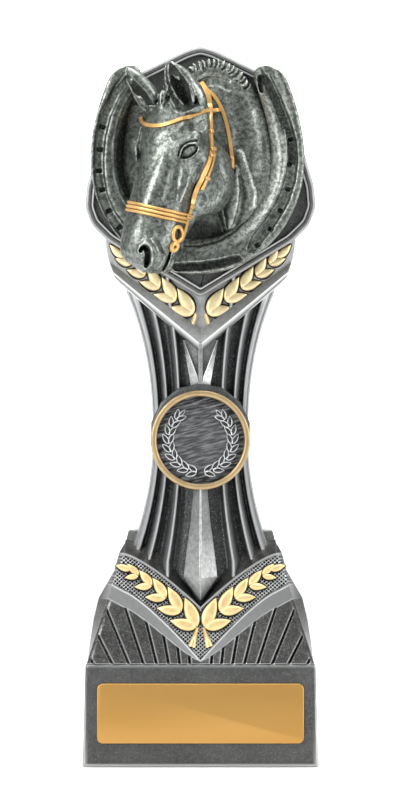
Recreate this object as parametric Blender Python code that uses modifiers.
"""Horse trophy: a cast tower on a plinth, a horse head medallion and an engraving plate.

Sizes are in millimetres and become metres when a mesh is made. The tower faces -Y, the plinth
stands on Z = 0, and the middle of the underside is the origin. X and Z are as the front shows them.
"""

import math

import bmesh
import bpy
import numpy as np
import openvdb
from mathutils import Matrix

MM = 0.001
CLEARANCE = 0.3  # gap between pieces that are glued together

# Plinth and the plate on it
PLINTH_WIDTH = 71.8
PLINTH_DEPTH = 50.0
PLINTH_HEIGHT = 31.4
PLINTH_DRAFT = 0.9  # how much each side leans in by its top
PLINTH_EDGE = 0.7
PLATE_WIDTH = 62.9
PLATE_HEIGHT = 18.2
PLATE_THICKNESS = 0.9
PLATE_CORNER = 1.8
PLATE_POCKET = 0.5
PLATE_MARGIN = 7.25  # plinth below the plate

# Skirt, the flared foot of the tower
SKIRT_FOOT = 69.4
SKIRT_TOP = 46.6
SKIRT_HEIGHT = 33.6
SKIRT_FOOT_DEPTH = 24.0  # how far its face stands in front of the middle
SKIRT_TOP_DEPTH = 15.5
SKIRT_KEEL = 1.2
SKIRT_BACK = 23.0
SHELF_TOP = 40.4  # above the plinth
SHELF_WIDTH = 44.4
SHELF_FRONT = 4.6
GROOVES = 8  # on each side
GROOVE_WIDTH = 0.8
GROOVE_DEPTH = 0.5
GROOVE_ORIGIN = 51.0  # the rays meet this far below the skirt's foot
BAND_DROP = 16.4  # how far the band's point lies below its ends
BAND_HEIGHT = 16.4
BAND_END_HEIGHT = 11.7
BAND_MARGIN = 0.9
BAND_RECESS = 0.6

# Column
WAIST_HEIGHT = 99.5
WAIST_WIDTH = 29.2
WAIST_DEPTH = 13.4
COLUMN_BACK = 10.5
UPPER_FLARE = 7.9
UPPER_RUN = 44.8
LOWER_FLARE = 6.3
LOWER_RUN = 32.7
FLARE_END = 45.3  # the column is no wider than this inside the skirt and the cap
FLARE_DEPTH = 3.6
SPEAR_RISE = 1.3

# Centre disc in its ring
RING_HEIGHT = 99.4
RING_OUTER = 30.5
RING_INNER = 26.8
RING_RISE = 1.5
BOSS_WIDTH = 31.0
BOSS_SIDES = 14
BOSS_LIFT = 2.0  # its middle above the ring's
BOSS_FRONT = 14.5
DISC_RECESS = 1.6
WREATH_RADIUS = 9.7
WREATH_SPAN = 139.0
WREATH_PAIRS = 9
WREATH_LEAF = 3.2

# Cap, the V under the shield
CAP_POINT = 126.5
CAP_TOP = 165.0
CAP_WIDTH = 58.4
CAP_FRONT = 10.8
CAP_LEAN = 0.1  # its face falls back this much for each mm from the middle
CAP_BACK = 10.5
BAR_HEIGHT = 6.9
BAR_END_HEIGHT = 4.5
BAR_RISE = 3.0

# Shield
SHIELD_WIDTH = 70.6
SHIELD_TOP = 220.0
SHIELD_SHOULDER = 206.0
SHIELD_SHOULDER_WIDTH = 52.4
SHIELD_WAIST = 177.0
SHIELD_FLANK = 160.2
SHIELD_POINT = 143.1
SHIELD_FRONT = 12.0
SHIELD_BACK = 5.0
SHIELD_RIM = 2.6
SHIELD_RECESS = 1.6

# Leaves
LEAF_WIDTH = 0.46  # share of a leaf's length
LEAF_RISE = 1.0
LEAF_ROOT = 0.9  # how deep a leaf is let into what it lies on

# Horse head medallion
HEAD_LENGTH = 54.0
POLL = np.array([-10.6, -28.0, 204.7])
SHOE_CENTRE = (-0.9, 184.9)
SHOE_RADII = (27.6, 29.5)
SHOE_BAND = 10.4
SHOE_RISE = 6.2
SHOE_HEEL = 208.6
STRAP_WIDTH = 2.1
DETAIL = 0.55  # sampling step of the head's form
HEAD_FACES = 4700

SKIRT_BASE = PLINTH_HEIGHT
MEDALLION_BACK = SHIELD_FRONT + CLEARANCE


# Solids built in millimetres


def new_object(name, bm, collection, helper=False, flat_only=False):
    bmesh.ops.remove_doubles(bm, verts=bm.verts, dist=1e-4)
    bmesh.ops.recalc_face_normals(bm, faces=bm.faces)
    if flat_only:
        bmesh.ops.triangulate(bm, faces=bm.faces)
    bmesh.ops.scale(bm, vec=(MM, MM, MM), verts=bm.verts)
    mesh = bpy.data.meshes.new(name)
    bm.to_mesh(mesh)
    bm.free()
    obj = bpy.data.objects.new(name, mesh)
    collection.objects.link(obj)
    if helper:
        obj.hide_render = True
        obj.display_type = "WIRE"
    return obj


def folded_prism(name, half, front, back, collection, helper=True):
    """A prism whose outline is mirrored about X = 0 and whose face may fold along that line.

    half runs from the top to the bottom middle; front and back give Y at a point.
    """
    bm = bmesh.new()
    sides = []
    for sign in (1, -1):
        faces = []
        for depth in (front, back):
            faces.append([bm.verts.new((sign * x, depth(x, z), z)) for x, z in half])
        sides.append(faces)
    for faces in sides:
        for ring in faces:
            bm.faces.new(ring)
        for i in range(len(half) - 1):
            bm.faces.new((faces[0][i], faces[0][i + 1], faces[1][i + 1], faces[1][i]))
    return new_object(name, bm, collection, helper)


def laid_sheet(name, rows, back, collection, helper=True):
    """A closed sheet whose face is a grid of points; back gives each point's other side."""
    bm = bmesh.new()
    face = [[bm.verts.new(p) for p in row] for row in rows]
    rear = [[bm.verts.new(back(*p)) for p in row] for row in rows]
    last_row, last = len(rows) - 1, len(rows[0]) - 1
    for grid in (face, rear):
        for i in range(last_row):
            for j in range(last):
                bm.faces.new((grid[i][j], grid[i][j + 1], grid[i + 1][j + 1], grid[i + 1][j]))
    for i in range(last_row):
        for j in (0, last):
            bm.faces.new((face[i][j], face[i + 1][j], rear[i + 1][j], rear[i][j]))
    for j in range(last):
        for i in (0, last_row):
            bm.faces.new((face[i][j], face[i][j + 1], rear[i][j + 1], rear[i][j]))
    return new_object(name, bm, collection, helper, True)


def loft(name, rings, collection, helper=True):
    bm = bmesh.new()
    lines = [[bm.verts.new(p) for p in ring] for ring in rings]
    count = len(rings[0])
    for a, b in zip(lines, lines[1:]):
        for i in range(count):
            j = (i + 1) % count
            bm.faces.new((a[i], a[j], b[j], b[i]))
    bm.faces.new(lines[0])
    bm.faces.new(lines[-1])
    return new_object(name, bm, collection, helper, True)


def disc(name, radius, sides, front, back, collection, turn=0.0, lift=0.0):
    """A disc facing the front, centred on the ring or above it."""
    bm = bmesh.new()
    bmesh.ops.create_cone(
        bm, cap_ends=True, segments=sides, radius1=radius, radius2=radius, depth=back - front
    )
    bmesh.ops.rotate(bm, cent=(0, 0, 0), matrix=Matrix.Rotation(turn, 3, "Z"), verts=bm.verts)
    for v in bm.verts:
        x, y, z = v.co
        v.co = (x, (front + back) / 2 + z, RING_HEIGHT + lift - y)
    return new_object(name, bm, collection, True)


def combine(obj, collection, operation):
    modifier = obj.modifiers.new(operation.title(), "BOOLEAN")
    modifier.operation = operation
    modifier.operand_type = "COLLECTION"
    modifier.collection = collection
    modifier.solver = "EXACT"


def finish(name, colour, roughness, metallic):
    material = bpy.data.materials.new(name)
    material.use_nodes = True
    shader = material.node_tree.nodes["Principled BSDF"]
    shader.inputs["Base Color"].default_value = (*colour, 1.0)
    shader.inputs["Roughness"].default_value = roughness
    shader.inputs["Metallic"].default_value = metallic
    material.diffuse_color = (*colour, 1.0)
    return material


def mix(a, b, share):
    return a + (b - a) * share


# Faces of the tower, which its ornament is laid on


def skirt_half(z):
    rise = min(max((z - SKIRT_BASE) / SKIRT_HEIGHT, 0.0), 1.0)
    return mix(SKIRT_TOP, SKIRT_FOOT, (1 - rise) ** 0.93) / 2


def skirt_front(x, z):
    rise = (z - SKIRT_BASE) / SKIRT_HEIGHT
    keel = SKIRT_KEEL * rise * (1 - min(abs(x) / skirt_half(z), 1.0))
    return -(mix(SKIRT_FOOT_DEPTH, SKIRT_TOP_DEPTH, rise) + keel)


def band_top(x):
    share = abs(x) / (SKIRT_TOP / 2)
    low = SKIRT_BASE + SKIRT_HEIGHT - BAND_DROP
    return low + BAND_DROP * (1 - (1 - min(share, 1.0)) ** 1.33) + max(share - 1, 0) * 8


def band_height(x):
    share = min(abs(x) / (SKIRT_TOP / 2), 1.0)
    return mix(BAND_HEIGHT, BAND_END_HEIGHT, share)


def column_half(z):
    up = max(z - WAIST_HEIGHT, 0.0) / UPPER_RUN
    down = max(WAIST_HEIGHT - z, 0.0) / LOWER_RUN
    return min(WAIST_WIDTH / 2 + UPPER_FLARE * up**2.4 + LOWER_FLARE * down**1.9, FLARE_END / 2)


def column_depth(z):
    up = max(z - WAIST_HEIGHT, 0.0) / UPPER_RUN
    down = max(WAIST_HEIGHT - z, 0.0) / LOWER_RUN
    return WAIST_DEPTH - 1.4 * up**2 + FLARE_DEPTH * down**1.6


# Across the column: share of its half width, share of its depth
FLUTES = (
    (0.0, 0.88),
    (0.30, 0.76),
    (0.45, 0.86),
    (0.585, 0.62),
    (0.70, 0.72),
    (0.80, 0.46),
    (0.90, 0.55),
    (1.0, 0.25),
)


def column_front(x, z):
    share = min(abs(x) / column_half(z), 1.0)
    depths = np.interp(share, [f[0] for f in FLUTES], [f[1] for f in FLUTES])
    return -column_depth(z) * float(depths)


def cap_front(x, z):
    return -(CAP_FRONT - CAP_LEAN * abs(x))


def cap_back(x, z):
    rise = (z - CAP_POINT) / (CAP_TOP - CAP_POINT)
    return mix(CAP_BACK, SHIELD_BACK + 0.8, rise)


def level(y):
    return lambda x, z: y


def let_in(depth):
    return lambda x, y, z: (x, y + depth, z)


# Laurel


def leaf_rows(root, angle, length, front, rise, count=3):
    """A pointed leaf with a ridge down its middle, lying on the face that front gives."""
    along = np.array([math.cos(angle), math.sin(angle)])
    across = np.array([-along[1], along[0]])
    rows = []
    for i in range(count + 1):
        t = i / count
        swell = abs(math.sin(math.pi * t**0.8))
        width = LEAF_WIDTH * length * swell / 2
        row = []
        for side in (-1, 0, 1):
            x, z = np.asarray(root) + along * length * t + across * side * width
            lift = rise * (0.3 if side else 0.3 + 0.7 * swell**0.6)
            row.append((x, front(x, z) - lift, z))
        rows.append(row)
    return rows


def laurel(name, root, steps, turns, lengths, leans, spread, front, collection):
    """One branch and its mirror image: pairs of leaves up a curving stem, and a leaf at the tip."""
    pairs = 5
    point = np.array(root, float)
    for k in range(pairs + 1):
        share = min(k / (pairs - 1), 1.0)
        heading = math.radians(mix(*turns, share))
        step = mix(*steps, share)
        lean = math.radians(mix(*leans, share))
        length = mix(*lengths, share)
        angles = (lean + spread, lean - spread) if k < pairs else (lean,)
        for n, angle in enumerate(angles):
            for side in (-1, 1):
                turned = math.pi - angle if side < 0 else angle
                root = (side * (point[0] + 0.3 * math.cos(angle)), point[1] + 0.3 * math.sin(angle))
                rows = leaf_rows(root, turned, length * (1 - 0.14 * n),
                                 front, LEAF_RISE)
                laid_sheet(f"{name}_{k}_{n}_{side}", rows, let_in(LEAF_RISE + LEAF_ROOT), collection)
        if k < pairs:
            step = step if k < pairs - 1 else 0.6 * step
            point = point + step * np.array([math.cos(heading), math.sin(heading)])


def stem(name, points, width, front, rise, collection):
    rows = []
    for i, (x, z) in enumerate(points):
        a = np.array(points[max(i - 1, 0)])
        b = np.array(points[min(i + 1, len(points) - 1)])
        along = (b - a) / np.linalg.norm(b - a)
        row = []
        for side in (-1, 0, 1):
            px, pz = x - along[1] * side * width / 2, z + along[0] * side * width / 2
            row.append((px, front(px, pz) - rise * (0.4 if side else 1.0), pz))
        rows.append(row)
    laid_sheet(name, rows, let_in(rise + LEAF_ROOT), collection)


# The tower


def make_plinth(parts):
    bpy.ops.mesh.primitive_cube_add(size=1)
    plinth = bpy.context.object
    plinth.name = plinth.data.name = "plinth"
    for v in plinth.data.vertices:
        high = v.co.z > 0
        lean = PLINTH_DRAFT if high else 0.0
        v.co.x = math.copysign(PLINTH_WIDTH / 2 - lean, v.co.x) * MM
        v.co.y = math.copysign(PLINTH_DEPTH / 2 - lean, v.co.y) * MM
        v.co.z = PLINTH_HEIGHT * MM if high else 0.0
    bevel = plinth.modifiers.new("Edges", "BEVEL")
    bevel.width = PLINTH_EDGE * MM
    bevel.segments = 2
    for old in plinth.users_collection:
        old.objects.unlink(plinth)
    parts.objects.link(plinth)
    return plinth


def make_skirt(parts, cuts):
    swell = ((0.0, 68.0), (0.21, 67.4), (0.59, 62.4), (0.84, 52.6), (1.0, 50.0))
    top = SKIRT_BASE + SHELF_TOP
    rings = []
    for z in np.linspace(SKIRT_BASE - 0.6, top, 10):
        share = max(z - SKIRT_BASE, 0.0) / SKIRT_HEIGHT
        half = skirt_half(z)
        side = np.interp(share, [s[0] for s in swell], [s[1] for s in swell]) / 2
        side = max(mix(side, SHELF_WIDTH / 2, max(share - 0.9, 0.0) / 0.3), SHELF_WIDTH / 2)
        side = max(side, half - 0.6)
        rear = mix(SKIRT_BACK, COLUMN_BACK + 3.0, min(share, 1.0))
        front = [(half * s, skirt_front(half * s, z), z) for s in (-1, -0.5, 0, 0.5, 1)]
        flank = -mix(SKIRT_FOOT_DEPTH, SKIRT_TOP_DEPTH, min(share, 1.0)) * 0.55
        rings.append(
            front
            + [(side, flank, z), (side, rear * 0.6, z), (side - 3.0, rear, z)]
            + [(-side + 3.0, rear, z), (-side, rear * 0.6, z), (-side, flank, z)]
        )
    skirt = loft("skirt", rings, parts)
    combine(skirt, cuts, "DIFFERENCE")

    high = SKIRT_BASE + SHELF_TOP + 10
    shares = (0.0, 0.18, 0.36, 0.55, 0.78, 1.0, 1.9)
    edge = [(SKIRT_TOP / 2 * s, band_top(SKIRT_TOP / 2 * s)) for s in shares]
    half = [(0, high), (edge[-1][0], high)] + edge[::-1]
    folded_prism("above_band", half, level(-60.0), level(-SHELF_FRONT), cuts)

    rows = []
    for s in (-1.08, -0.72, -0.36, 0.0, 0.36, 0.72, 1.08):
        x = SKIRT_TOP / 2 * s
        row = []
        for t in (0.0, 0.5, 1.0):
            drop = mix(BAND_MARGIN, band_height(x) - BAND_MARGIN, t)
            wide = x * mix(1.0, 1.12, t)
            z = band_top(x) - drop
            row.append((wide, skirt_front(wide, z) + BAND_RECESS, z))
        rows.append(row)
    laid_sheet("band_ground", rows, lambda x, y, z: (x, -60.0, z), cuts)

    for side in (-1, 1):
        for k in range(1, GROOVES + 1):
            angle = math.radians(3.1 * k + 0.115 * k * k)
            rows = []
            for t in (0.0, 0.5, 1.0):
                reach_low = GROOVE_ORIGIN - 1.0
                reach_high = groove_reach(angle)
                reach = mix(reach_low, reach_high, t)
                x, z = reach * math.tan(angle), SKIRT_BASE - GROOVE_ORIGIN + reach
                half = GROOVE_WIDTH / 2 / math.cos(angle)
                row = []
                for offset in (-half, 0.0, half):
                    depth = GROOVE_DEPTH if offset == 0.0 else -0.25
                    xx = side * (x + offset)
                    row.append((xx, skirt_front(xx, z) + depth, z))
                rows.append(row)
            laid_sheet(f"groove_{side}_{k}", rows, lambda x, y, z: (x, y - 4.0, z), cuts)


def groove_reach(angle):
    """How far up a ray runs before it meets the plain strip under the band, or the skirt's side."""
    for reach in np.arange(GROOVE_ORIGIN, GROOVE_ORIGIN + SKIRT_HEIGHT, 0.2):
        x, z = reach * math.tan(angle), SKIRT_BASE - GROOVE_ORIGIN + reach
        strip = band_top(x) - band_height(x) - 2.2
        if z > strip or x > skirt_half(z) - 1.2:
            break
    return reach


def make_column(parts):
    rings = []
    shares = [-s for s, d in FLUTES[:0:-1]] + [s for s, d in FLUTES]
    for z in np.linspace(SKIRT_BASE + 6, CAP_TOP - 4, 22):
        half, depth = column_half(z), column_depth(z)
        ring = [(half * s, column_front(half * s, z), z) for s in shares]
        ring += [(half, COLUMN_BACK * 0.45, z), (half * 0.72, COLUMN_BACK, z)]
        ring += [(-half * 0.72, COLUMN_BACK, z), (-half, COLUMN_BACK * 0.45, z)]
        rings.append(ring)
    loft("column", rings, parts)

    foot = SKIRT_BASE + SKIRT_HEIGHT - BAND_DROP + 1.2
    lower = ((foot, 0.15), (foot + 7.6, 5.2), (foot + 15, 4.3), (foot + 33.4, 2.1))
    upper = ((CAP_POINT - 14, 1.9), (CAP_POINT - 5, 3.3), (CAP_POINT + 3, 5.2))
    for name, run in (("lower_spear", lower), ("upper_spear", upper)):
        rows = []
        for z, half in run:
            edge = -column_depth(z) * 0.84
            ridge = -column_depth(z) - SPEAR_RISE
            rows.append([(-half, edge, z), (-half * 0.25, (edge + 2 * ridge) / 3, z),
                         (0, ridge, z), (half * 0.25, (edge + 2 * ridge) / 3, z), (half, edge, z)])
        laid_sheet(name, rows, lambda x, y, z: (x, -WAIST_DEPTH * 0.3, z), parts)


def make_centre(parts, cuts, floor_parts):
    face = -(BOSS_FRONT + RING_RISE)
    floor = face + DISC_RECESS
    disc("boss", BOSS_WIDTH / 2, BOSS_SIDES, -BOSS_FRONT, 0.0, parts,
         math.pi / BOSS_SIDES, BOSS_LIFT)
    ring = disc("ring", RING_OUTER / 2, 44, face, -5.0, parts)
    bevel = ring.modifiers.new("Rolled edge", "BEVEL")
    bevel.width = 0.5 * MM
    bevel.segments = 1
    bevel.limit_method = "ANGLE"
    disc("ring_hollow", RING_INNER / 2, 44, face - 6.0, floor, cuts)

    for side in (-1, 1):
        for k in range(WREATH_PAIRS):
            a = math.radians(6 + (WREATH_SPAN - 16) * k / (WREATH_PAIRS - 1))
            x, z = WREATH_RADIUS * math.sin(a), RING_HEIGHT - WREATH_RADIUS * math.cos(a)
            for n, lean in enumerate((0.5, -0.5)):
                angle = a + lean
                turned = math.pi - angle if side < 0 else angle
                root = (side * (x + 0.2 * math.cos(angle)), z + 0.2 * math.sin(angle))
                rows = leaf_rows(root, turned, WREATH_LEAF, level(floor), 0.7, 2)
                laid_sheet(f"wreath_{side}_{k}_{n}", rows, let_in(1.2), floor_parts)


def make_cap(parts):
    corner = ((29.2, 160.2), (28.5, 155.3), (27.5, 151.9), (26.4, 149.2), (24.7, 147.2), (23.0, 145.8))
    wide = CAP_WIDTH / 58.4
    half = [(0.0, CAP_TOP), (CAP_WIDTH / 2, CAP_TOP)] + [(x * wide, z) for x, z in corner]
    half.append((0.0, CAP_POINT))
    folded_prism("cap", half, cap_front, cap_back, parts)

    rows = []
    for u in (-1.0, -0.5, 0.0, 0.5, 1.0):
        s = abs(u)
        height = mix(BAR_HEIGHT, BAR_END_HEIGHT, s)
        x_low, z_low = u * 25.9 * wide, mix(CAP_POINT - 0.3, 149.0, s)
        x_high, z_high = u * 27.7 * wide, z_low + height
        row = []
        for t, rise in ((0.0, -0.6), (0.0, 0.9), (0.35, BAR_RISE), (0.92, 1.1), (1.0, -0.6)):
            x, z = mix(x_low, x_high, t), mix(z_low, z_high, t)
            row.append((x, cap_front(x, z) - rise, z))
        rows.append(row)
    laid_sheet("v_bar", rows, lambda x, y, z: (x, -3.0, z), parts)


def shield_outline():
    wide = SHIELD_WIDTH / 2
    return [
        (0.0, SHIELD_TOP),
        (4.3, SHIELD_TOP - 1.2),
        (SHIELD_SHOULDER_WIDTH / 2 - 7.6, SHIELD_SHOULDER + 5.8),
        (SHIELD_SHOULDER_WIDTH / 2, SHIELD_SHOULDER),
        (wide - 0.5, SHIELD_WAIST),
        (wide, SHIELD_WAIST - 6.4),
        (wide - 1.9, SHIELD_WAIST - 11.6),
        (wide - 7.1, SHIELD_FLANK),
        (0.0, SHIELD_POINT),
    ]


def inset(half, by):
    """The half outline moved inwards by a distance, each edge parallel to what it was."""
    full = [np.array(p, float) for p in half]
    mirror = np.array([-1.0, 1.0])
    ring = [full[1] * mirror] + full + [full[-2] * mirror]
    moved = []
    for a, b, c in zip(ring, ring[1:], ring[2:]):
        normals = []
        for p, q in ((a, b), (b, c)):
            d = (q - p) / np.linalg.norm(q - p)
            normals.append(np.array([d[1], -d[0]]))
        middle = sum(normals) / np.linalg.norm(sum(normals))
        moved.append(tuple(b + middle * by / middle.dot(normals[0])))
    moved[0] = (0.0, moved[0][1])
    moved[-1] = (0.0, moved[-1][1])
    return moved


def make_shield(parts, cuts):
    outline = shield_outline()
    shield = folded_prism("shield", outline, level(-SHIELD_FRONT), level(SHIELD_BACK), parts)
    bevel = shield.modifiers.new("Edges", "BEVEL")
    bevel.width = 0.6 * MM
    bevel.segments = 1
    bevel.limit_method = "ANGLE"
    bevel.angle_limit = math.radians(60)
    hollow = inset(outline, SHIELD_RIM)
    floor = level(SHIELD_RECESS - SHIELD_FRONT)
    folded_prism("shield_hollow", hollow, level(-SHIELD_FRONT - 5), floor, cuts)


def make_tower(gathered, skirt_cutters, cutters, laid):
    make_skirt(gathered, skirt_cutters)
    make_column(gathered)
    make_cap(gathered)
    make_shield(gathered, cutters)
    make_centre(gathered, cutters, laid)
    pocket_cut(cutters)

    ground = lambda x, z: skirt_front(x, z) + BAND_RECESS
    low = SKIRT_BASE + SKIRT_HEIGHT - BAND_DROP
    laurel("lower_leaf", (0.9, low - 6.4), (6.7, 4.6), (45, 36), (9.6, 4.6), (42, 18),
           math.radians(26), ground, laid)
    laurel("upper_leaf", (1.3, CAP_POINT + 12.6), (7.0, 4.9), (25, 44), (7.6, 4.4), (22, 36),
           math.radians(24), cap_front, laid)
    for side in (-1, 1):
        stem(f"lower_stem_{side}", [(side * 3.2, low - 11.9), (side * 1.8, low - 9.0), (side * 0.9, low - 6.0)],
             1.3, ground, 0.9, laid)
        stem(f"upper_stem_{side}", [(side * 1.4, CAP_POINT + 8.4), (side * 1.0, CAP_POINT + 10.4),
                                    (side * 1.3, CAP_POINT + 13.0)], 1.2, cap_front, 0.9, laid)


def plate_tilt():
    return math.atan(PLINTH_DRAFT / PLINTH_HEIGHT)


def plate_place(proud):
    """Middle of the plate's front face, standing proud of the plinth's face."""
    z = PLATE_MARGIN + PLATE_HEIGHT / 2
    y = -PLINTH_DEPTH / 2 + z * math.tan(plate_tilt())
    return (0.0, (y - proud) * MM, z * MM)


def pocket_cut(cuts):
    bpy.ops.mesh.primitive_cube_add(size=1)
    pocket = bpy.context.object
    pocket.name = pocket.data.name = "plate_pocket"
    size = (PLATE_WIDTH + 2 * CLEARANCE, 2 * PLATE_POCKET, PLATE_HEIGHT + 2 * CLEARANCE)
    for v in pocket.data.vertices:
        v.co = [v.co[i] * size[i] * MM for i in range(3)]
    pocket.location = plate_place(0.0)
    pocket.rotation_euler.x = -plate_tilt()
    for old in pocket.users_collection:
        old.objects.unlink(pocket)
    cuts.objects.link(pocket)
    pocket.hide_render = True
    pocket.display_type = "WIRE"


def make_plate(collection):
    """The engraving plate: a flat outline with rounded corners, stood up against the plinth."""
    curve = bpy.data.curves.new("engraving_plate", "CURVE")
    curve.dimensions = "2D"
    curve.fill_mode = "BOTH"
    curve.extrude = PLATE_THICKNESS / 2 * MM
    points = []
    for cx, cz, start in ((1, 1, 0), (-1, 1, 90), (-1, -1, 180), (1, -1, 270)):
        for step in range(5):
            a = math.radians(start + 22.5 * step)
            points.append((cx * (PLATE_WIDTH / 2 - PLATE_CORNER) + PLATE_CORNER * math.cos(a),
                           cz * (PLATE_HEIGHT / 2 - PLATE_CORNER) + PLATE_CORNER * math.sin(a)))
    line = curve.splines.new("POLY")
    line.points.add(len(points) - 1)
    for spot, (x, z) in zip(line.points, points):
        spot.co = (x * MM, z * MM, 0.0, 1.0)
    line.use_cyclic_u = True
    plate = bpy.data.objects.new("engraving_plate", curve)
    collection.objects.link(plate)
    middle = PLATE_THICKNESS / 2 - (PLATE_POCKET - CLEARANCE)
    plate.location = plate_place(middle)
    plate.rotation_euler.x = math.pi / 2 - plate_tilt()
    return plate


# The horse head, as a field of distances: negative inside, smooth where masses meet.
# In the head's own frame L runs from poll to muzzle, S towards its near side and N up from its brow.


def unit(v):
    v = np.asarray(v, float)
    return v / np.linalg.norm(v)


HANG = unit((-0.235, -0.224, -0.946))
TURN = math.radians(46)
OUTWARD = np.array([-math.sin(TURN), -math.cos(TURN), 0.0])
BROW = unit(OUTWARD - OUTWARD.dot(HANG) * HANG)
NEAR = unit(-np.cross(HANG, BROW))
UNIT = HEAD_LENGTH / 54.0


def smooth_min(a, b, k):
    h = np.maximum(k - np.abs(a - b), 0.0)
    return np.minimum(a, b) - h * h / (4.0 * k)


def smooth_max(a, b, k):
    return -smooth_min(-a, -b, k)


def ball(x, y, z, centre, radii):
    u, v, w = (x - centre[0]) / radii[0], (y - centre[1]) / radii[1], (z - centre[2]) / radii[2]
    near = np.sqrt(u * u + v * v + w * w)
    slope = np.sqrt((u / radii[0]) ** 2 + (v / radii[1]) ** 2 + (w / radii[2]) ** 2) + 1e-9
    return near * (near - 1.0) / slope


def bone(x, y, z, ends, radii):
    a, b = np.asarray(ends[0], float), np.asarray(ends[1], float)
    d = b - a
    t = ((x - a[0]) * d[0] + (y - a[1]) * d[1] + (z - a[2]) * d[2]) / d.dot(d)
    t = np.clip(t, 0.0, 1.0)
    off = (x - a[0] - t * d[0]) ** 2 + (y - a[1] - t * d[1]) ** 2 + (z - a[2] - t * d[2]) ** 2
    return np.sqrt(off) - (radii[0] + (radii[1] - radii[0]) * t)


SHAPES = {"ball": ball, "bone": bone}

# Masses of the near half: shape, where it lies, its radii, how softly it blends
MASSES = (
    ("ball", (10.5, 0.0, -9.5), (14.0, 10.8, 9.4), 0.1),
    ("bone", ((11.0, 0.0, -8.0), (43.0, 0.0, -7.8)), (7.9, 7.0), 5.0),
    ("bone", ((17.0, 6.2, -12.5), (40.0, 3.0, -10.5)), (5.8, 4.9), 5.0),
    ("ball", (14.0, 8.4, -5.6), (5.4, 4.2, 3.8), 3.5),
    ("ball", (19.5, 0.0, -18.5), (12.5, 6.4, 11.8), 4.0),
    ("ball", (20.0, 5.2, -20.0), (11.4, 4.2, 11.2), 2.5),
    ("bone", ((25.0, 2.4, -20.0), (45.0, 1.6, -14.2)), (4.2, 3.0), 3.0),
    ("bone", ((17.0, 9.6, -9.8), (32.0, 7.4, -9.8)), (1.3, 0.5), 2.2),
    ("ball", (44.5, 0.2, -8.0), (7.6, 6.8, 6.4), 3.5),
    ("ball", (49.6, 0.0, -10.4), (4.4, 5.6, 4.8), 2.5),
    ("ball", (47.4, 3.8, -5.6), (4.6, 3.0, 3.2), 1.8),
    ("ball", (48.4, 0.4, -15.4), (4.2, 4.4, 2.8), 1.2),
)
CUTS = (
    ("ball", (6.5, 10.8, -6.5), (4.0, 1.6, 3.2), 2.5),
    ("ball", (28.0, 11.4, -5.5), (8.0, 2.8, 3.2), 3.0),
    ("ball", (34.0, 9.8, -14.0), (8.5, 2.4, 3.4), 3.5),
    ("bone", ((49.6, 3.8, -2.6), (48.4, 4.7, -4.2)), (1.2, 1.4), 0.7),
    ("bone", ((48.4, 4.7, -4.2), (50.8, 5.4, -5.4)), (1.4, 1.5), 0.7),
    ("bone", ((50.8, 5.4, -5.4), (52.8, 3.6, -7.6)), (1.5, 1.0), 0.7),
)
EYE = (16.6, 9.9, -4.8)
EYE_TILT = math.radians(30)


def to_head(p):
    q = (p - POLL) / UNIT
    return q @ HANG, q @ NEAR, q @ BROW


def from_head(along, side, brow):
    return POLL + UNIT * (along * HANG + side * NEAR + brow * BROW)


def skull(l, s, n):
    s = np.where(s < 0, s * 0.90, s)
    a = np.sqrt(s * s + 0.05)
    d = ball(l, a, n, *MASSES[0][1:3])
    for kind, where, size, blend in MASSES[1:]:
        d = smooth_min(d, SHAPES[kind](l, a, n, where, size), blend)
    for kind, where, size, blend in CUTS:
        d = smooth_max(d, -SHAPES[kind](l, a, n, where, size), blend)
    lips = np.maximum(np.abs(n + 12.3 - 0.06 * (l - 47.0)) - 0.3, 45.0 - l)
    d = smooth_max(d, -np.maximum(lips, 0.8 - a), 0.5)
    return eye(l, a, n, d)


def eye(l, a, n, d):
    dl, dn, out = l - EYE[0], n - EYE[2], a - EYE[1]
    c, s = math.cos(EYE_TILT), math.sin(EYE_TILT)
    almond = np.sqrt(((dl * c + dn * s) / 3.2) ** 2 + ((-dl * s + dn * c) / 1.9) ** 2)
    socket = np.maximum((almond - 1.0) * 1.6, np.abs(out) - 1.7)
    d = smooth_max(d, -socket, 0.5)
    d = smooth_min(d, np.sqrt(dl * dl + dn * dn + (out + 2.1) ** 2) - 2.9, 0.25)
    lid = np.sqrt(((almond - 1.10) * 1.9) ** 2 + (out + 0.4 + 0.05 * dl * dl) ** 2) - 0.5
    return smooth_min(d, lid, 0.5)


def ear(p, base, tip, opening, width, depth):
    axis = tip - base
    length = np.linalg.norm(axis)
    axis = axis / length
    face = np.asarray(opening, float)
    face = unit(face - face.dot(axis) * axis)
    side = np.cross(axis, face)
    q = p - base
    u, o, w = q @ axis / length, q @ face, q @ side
    t = np.clip(u, 0.0, 1.0)
    swell = 0.66 + 0.34 * np.sin(np.clip(t / 0.42, 0.0, 1.0) * math.pi / 2)
    swell = swell * np.power(np.maximum(1.0 - t**2.4, 0.0), 0.8) + 0.06
    half, thick = width * swell, depth * swell
    outer = (np.sqrt((w / half) ** 2 + (o / thick) ** 2) - 1.0) * np.minimum(half, thick) * 0.9
    outer = np.maximum(outer, (np.abs(u - 0.5) - 0.5) * length)
    inner = np.sqrt((w / (half * 0.74)) ** 2 + ((o - thick * 0.75) / (thick * 1.35)) ** 2)
    inner = np.maximum((inner - 1.0) * np.minimum(half, thick) * 0.8, (0.10 - u) * length)
    return smooth_max(outer, -inner, 0.4)


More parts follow.
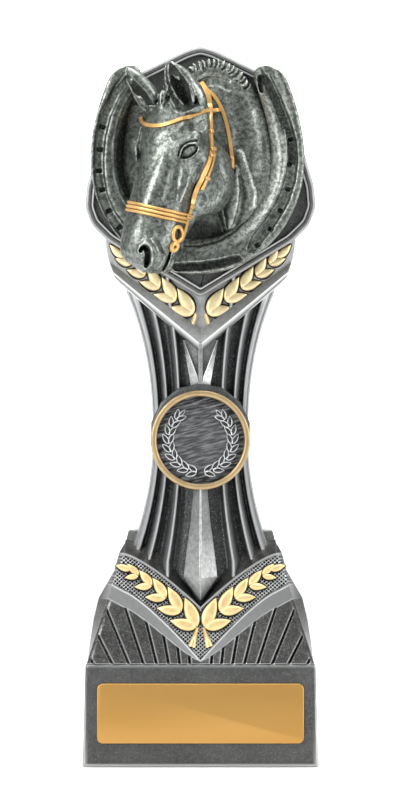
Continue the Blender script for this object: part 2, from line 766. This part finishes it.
def head(p):
    l, s, n = to_head(p)
    d = skull(l, s, n)
    d = smooth_min(d, ball(l, s, n, (2.6, -0.3, -0.8), (3.8, 2.6, 2.2)), 1.6)
    near = from_head(3.0, 9.4, -6.4)
    far = from_head(3.8, -8.4, -5.4)
    reach = np.array([-8.3, -5.4, 14.8]) * UNIT
    d = smooth_min(d, ear(p, near, near + reach, (-0.80, -0.60, -0.05), 4.7 * UNIT, 4.2 * UNIT), 1.2)
    reach = np.array([-9.2, -4.0, 13.7]) * UNIT
    return smooth_min(d, ear(p, far, far + reach, (-0.62, -0.50, -0.55), 4.5 * UNIT, 4.0 * UNIT), 1.2)


# What the head comes out of: a horseshoe, a plate inside it, the neck and the mane


def shoe_across(x, z):
    """Distance outwards from the middle of the shoe's band, and the angle from its toe."""
    dx, dz = x - SHOE_CENTRE[0], z - SHOE_CENTRE[1]
    a, b = SHOE_RADII
    pinch = 1.0 + 0.16 * np.clip(dz / b, 0.0, 1.4) ** 2
    low, high = np.minimum(dz, 0.0) / b, np.maximum(dz, 0.0) / (b * 1.9)
    r = np.sqrt((dx * pinch / a) ** 2 + low**2 + high**2)
    return (r - 1.0) * (a + b) / 2, np.arctan2(dx, -dz)


def shoe(p):
    x, y, z = p[..., 0], p[..., 1], p[..., 2]
    w, angle = shoe_across(x, z)
    half = SHOE_BAND / 2
    face = -MEDALLION_BACK - SHOE_RISE + 2.6 * np.clip(-w / half, 0.0, 1.0) ** 1.6
    plain = np.minimum(np.clip((z - SHOE_HEEL + 1.5) / 2.0, 0, 1) + (np.abs(angle - 0.62) < 0.05), 1.0)
    groove = np.clip(1.0 - np.abs(w - 1.6) / 0.95, 0.0, 1.0)
    face = face + 1.3 * np.minimum(groove * 2.0, 1.0) * (1.0 - plain)
    face = face - 0.5 * np.clip(1.0 - ((w - 3.6) / 1.6) ** 2, 0.0, 1.0)
    beyond = np.maximum(z - SHOE_HEEL, 0.0)
    band = np.sqrt(w * w + beyond * beyond) - half
    d = smooth_max(band, face - y, 0.5)
    eyelet = ball(x, y, z, (18.3, -MEDALLION_BACK - SHOE_RISE, SHOE_HEEL + 0.6), (1.1, 1.8, 3.4))
    return smooth_max(d, -eyelet, 0.4)


NECK = (
    ("ball", (6.4, -12.3, 195.3), (14.6, 4.9, 16.2)),
    ("ball", (14.8, -12.3, 180.0), (11.0, 4.7, 24.0)),
    ("ball", (10.8, -12.0, 171.2), (6.6, 4.2, 13.0)),
    ("bone", ((11.0, -15.9, 182.4), (9.2, -15.4, 165.0)), (1.7, 0.9)),
    ("bone", ((12.8, -16.0, 181.2), (16.6, -15.6, 169.0)), (1.5, 0.7)),
    ("bone", ((14.5, -15.2, 206.0), (19.0, -15.0, 196.0)), (2.2, 1.4)),
)
CREST = (3.5, 201.7, 9.6, 10.1)
TUFTS = 17


def neck(p):
    x, y, z = p[..., 0], p[..., 1], p[..., 2]
    d = None
    for kind, where, size in NECK:
        one = SHAPES[kind](x, y, z, where, size)
        d = one if d is None else smooth_min(d, one, 2.0)
    w, angle = shoe_across(x, z)
    return smooth_max(d, w + SHOE_BAND / 2 - 0.5, 0.8)


def mane(p):
    x, y, z = p[..., 0], p[..., 1], p[..., 2]
    cx, cz, rx, rz = CREST
    out = (np.sqrt(((x - cx) / rx) ** 2 + ((z - cz) / rz) ** 2) - 1.0) * (rx + rz) / 2
    angle = np.arctan2(x - cx, z - cz)
    lock = np.cos(angle * TUFTS * 2 - out * 0.9)
    top = -MEDALLION_BACK - 2.9 - 0.7 * lock + 0.25 * np.abs(out - 1.8)
    rim = np.abs(out - 1.4) - 2.4 - 0.5 * lock
    ends = (np.abs(angle - 0.16) - 0.86) * rx
    return np.maximum(np.maximum(rim, ends), (top - y) * 0.9)


def back_plate(p):
    x, y, z = p[..., 0], p[..., 1], p[..., 2]
    w, angle = shoe_across(x, z)
    cx, cz, rx, rz = CREST
    above = np.minimum(z - cz, ball(x, 0 * y, z, (cx, 0, cz), (rx + 1, 9, rz + 1)))
    return np.maximum(np.maximum(w + 1.0, -MEDALLION_BACK - 1.1 - y), above)


# Bridle: each strap's way over the front, as X and Z
BRIDLE = (
    ("browband", ((-18.2, 197.4), (-16.3, 195.2), (-12.4, 194.6), (-6.3, 196.4), (-0.2, 199.2), (6.6, 200.4))),
    ("cheekpiece", ((0.5, 208.7), (2.9, 203.8), (2.9, 193.4), (2.9, 187.0), (1.7, 182.8), (-1.4, 175.4),
                    (-2.9, 170.2), (-4.1, 166.6))),
    ("throatlatch", ((2.4, 206.0), (6.6, 200.4), (8.7, 193.4), (9.6, 186.1), (9.6, 182.8))),
    ("noseband", ((-21.0, 170.8), (-17.5, 169.6), (-11.0, 167.8), (-5.0, 166.6))),
)


def lay_on_front(form, x, z):
    """Y of the first surface met at X, Z when coming from the front."""
    ys = np.linspace(-60.0, -MEDALLION_BACK, 400)
    line = np.stack([np.full_like(ys, x), ys, np.full_like(ys, z)], axis=-1)
    inside = np.nonzero(form(line) < 0)[0]
    return ys[inside[0]] if len(inside) else -MEDALLION_BACK - 2.0


def smooth_line(points, step=2.0):
    """Points along a smooth curve through the given ones."""
    points = [np.asarray(p, float) for p in points]
    ends = [2 * points[0] - points[1]] + points + [2 * points[-1] - points[-2]]
    line = []
    for p0, p1, p2, p3 in zip(ends, ends[1:], ends[2:], ends[3:]):
        count = max(int(np.linalg.norm(p2 - p1) / step), 1)
        for t in np.arange(count) / count:
            a = 2 * p1 + (p2 - p0) * t + (2 * p0 - 5 * p1 + 4 * p2 - p3) * t * t
            line.append((a + (3 * p1 - p0 - 3 * p2 + p3) * t**3) / 2)
    return line + [points[-1]]


def bridle(p, form):
    x, y, z = p[..., 0], p[..., 1], p[..., 2]
    d = None
    for name, route in BRIDLE:
        radius = STRAP_WIDTH / 2 * (1.25 if name == "noseband" else 1.0)
        line = [(px, lay_on_front(form, px, pz) + 0.25, pz) for px, pz in smooth_line(route)]
        for a, b in zip(line, line[1:]):
            one = bone(x, y, z, (a, b), (radius, radius))
            d = one if d is None else np.minimum(d, one)
    for px, pz in ((2.9, 192.9), (3.0, 187.0), (1.4, 178.8)):
        d = np.minimum(d, ball(x, y, z, (px, lay_on_front(form, px, pz), pz), (1.9, 1.7, 2.0)))
    for px, pz, radius in ((-7.3, 161.7, 1.7), (-8.2, 158.0, 1.3)):
        y0 = lay_on_front(form, px, pz) - 0.2
        ring = np.sqrt((np.hypot(x - px, z - pz) - radius) ** 2 + (y - y0) ** 2) - 0.75
        d = np.minimum(d, ring)
    return d


def medallion_form(p):
    figure = lambda q: smooth_min(head(q), smooth_min(neck(q), mane(q), 0.4), 0.6)
    d = smooth_min(figure(p), bridle(p, figure), 0.25)
    d = smooth_min(d, smooth_min(shoe(p), back_plate(p), 0.5), 0.4)
    return np.maximum(d, p[..., 1] + MEDALLION_BACK)


def make_medallion(collection):
    lo = np.array([-37.0, -46.0, 148.0])
    hi = np.array([34.0, -11.0, 217.0])
    axes = [np.arange(lo[i], hi[i], DETAIL) for i in range(3)]
    points = np.stack(np.meshgrid(*axes, indexing="ij"), axis=-1)
    grid = openvdb.FloatGrid()
    grid.copyFromArray(medallion_form(points).astype(np.float32))
    verts, triangles, quads = grid.convertToPolygons(isovalue=0.0, adaptivity=0.0)
    mesh = bpy.data.meshes.new("horse_medallion")
    corners = (verts * DETAIL + lo) * MM
    faces = [tuple(q) for q in quads] + [tuple(t) for t in triangles]
    mesh.from_pydata(corners.tolist(), [], faces)
    obj = bpy.data.objects.new("horse_medallion", mesh)
    collection.objects.link(obj)
    thin = obj.modifiers.new("Fewer faces", "DECIMATE")
    thin.ratio = HEAD_FACES / (2 * len(faces))
    return obj


def main():
    for obj in list(bpy.data.objects):
        bpy.data.objects.remove(obj, do_unlink=True)
    scene = bpy.context.scene.collection
    sets = {}
    for name in ("horse_trophy", "tower_pieces", "skirt_cutters", "tower_cutters", "laid_leaves"):
        sets[name] = bpy.data.collections.new(name)
        scene.children.link(sets[name])
    trophy = sets["horse_trophy"]
    gathered, cutters, laid = sets["tower_pieces"], sets["tower_cutters"], sets["laid_leaves"]

    tower = make_plinth(trophy)
    tower.name = tower.data.name = "tower"
    make_tower(gathered, sets["skirt_cutters"], cutters, laid)
    combine(tower, gathered, "UNION")
    combine(tower, cutters, "DIFFERENCE")
    combine(tower, laid, "UNION")
    tidy = tower.modifiers.new("Plain faces whole", "DECIMATE")
    tidy.decimate_type = "DISSOLVE"
    tidy.angle_limit = math.radians(0.5)
    tower.data.materials.append(finish("antique silver", (0.30, 0.30, 0.30), 0.38, 0.9))

    medallion = make_medallion(trophy)
    medallion.data.materials.append(finish("dark antique silver", (0.24, 0.25, 0.24), 0.36, 0.9))

    plate = make_plate(trophy)
    plate.data.materials.append(finish("satin gold", (0.62, 0.36, 0.10), 0.35, 1.0))


main()
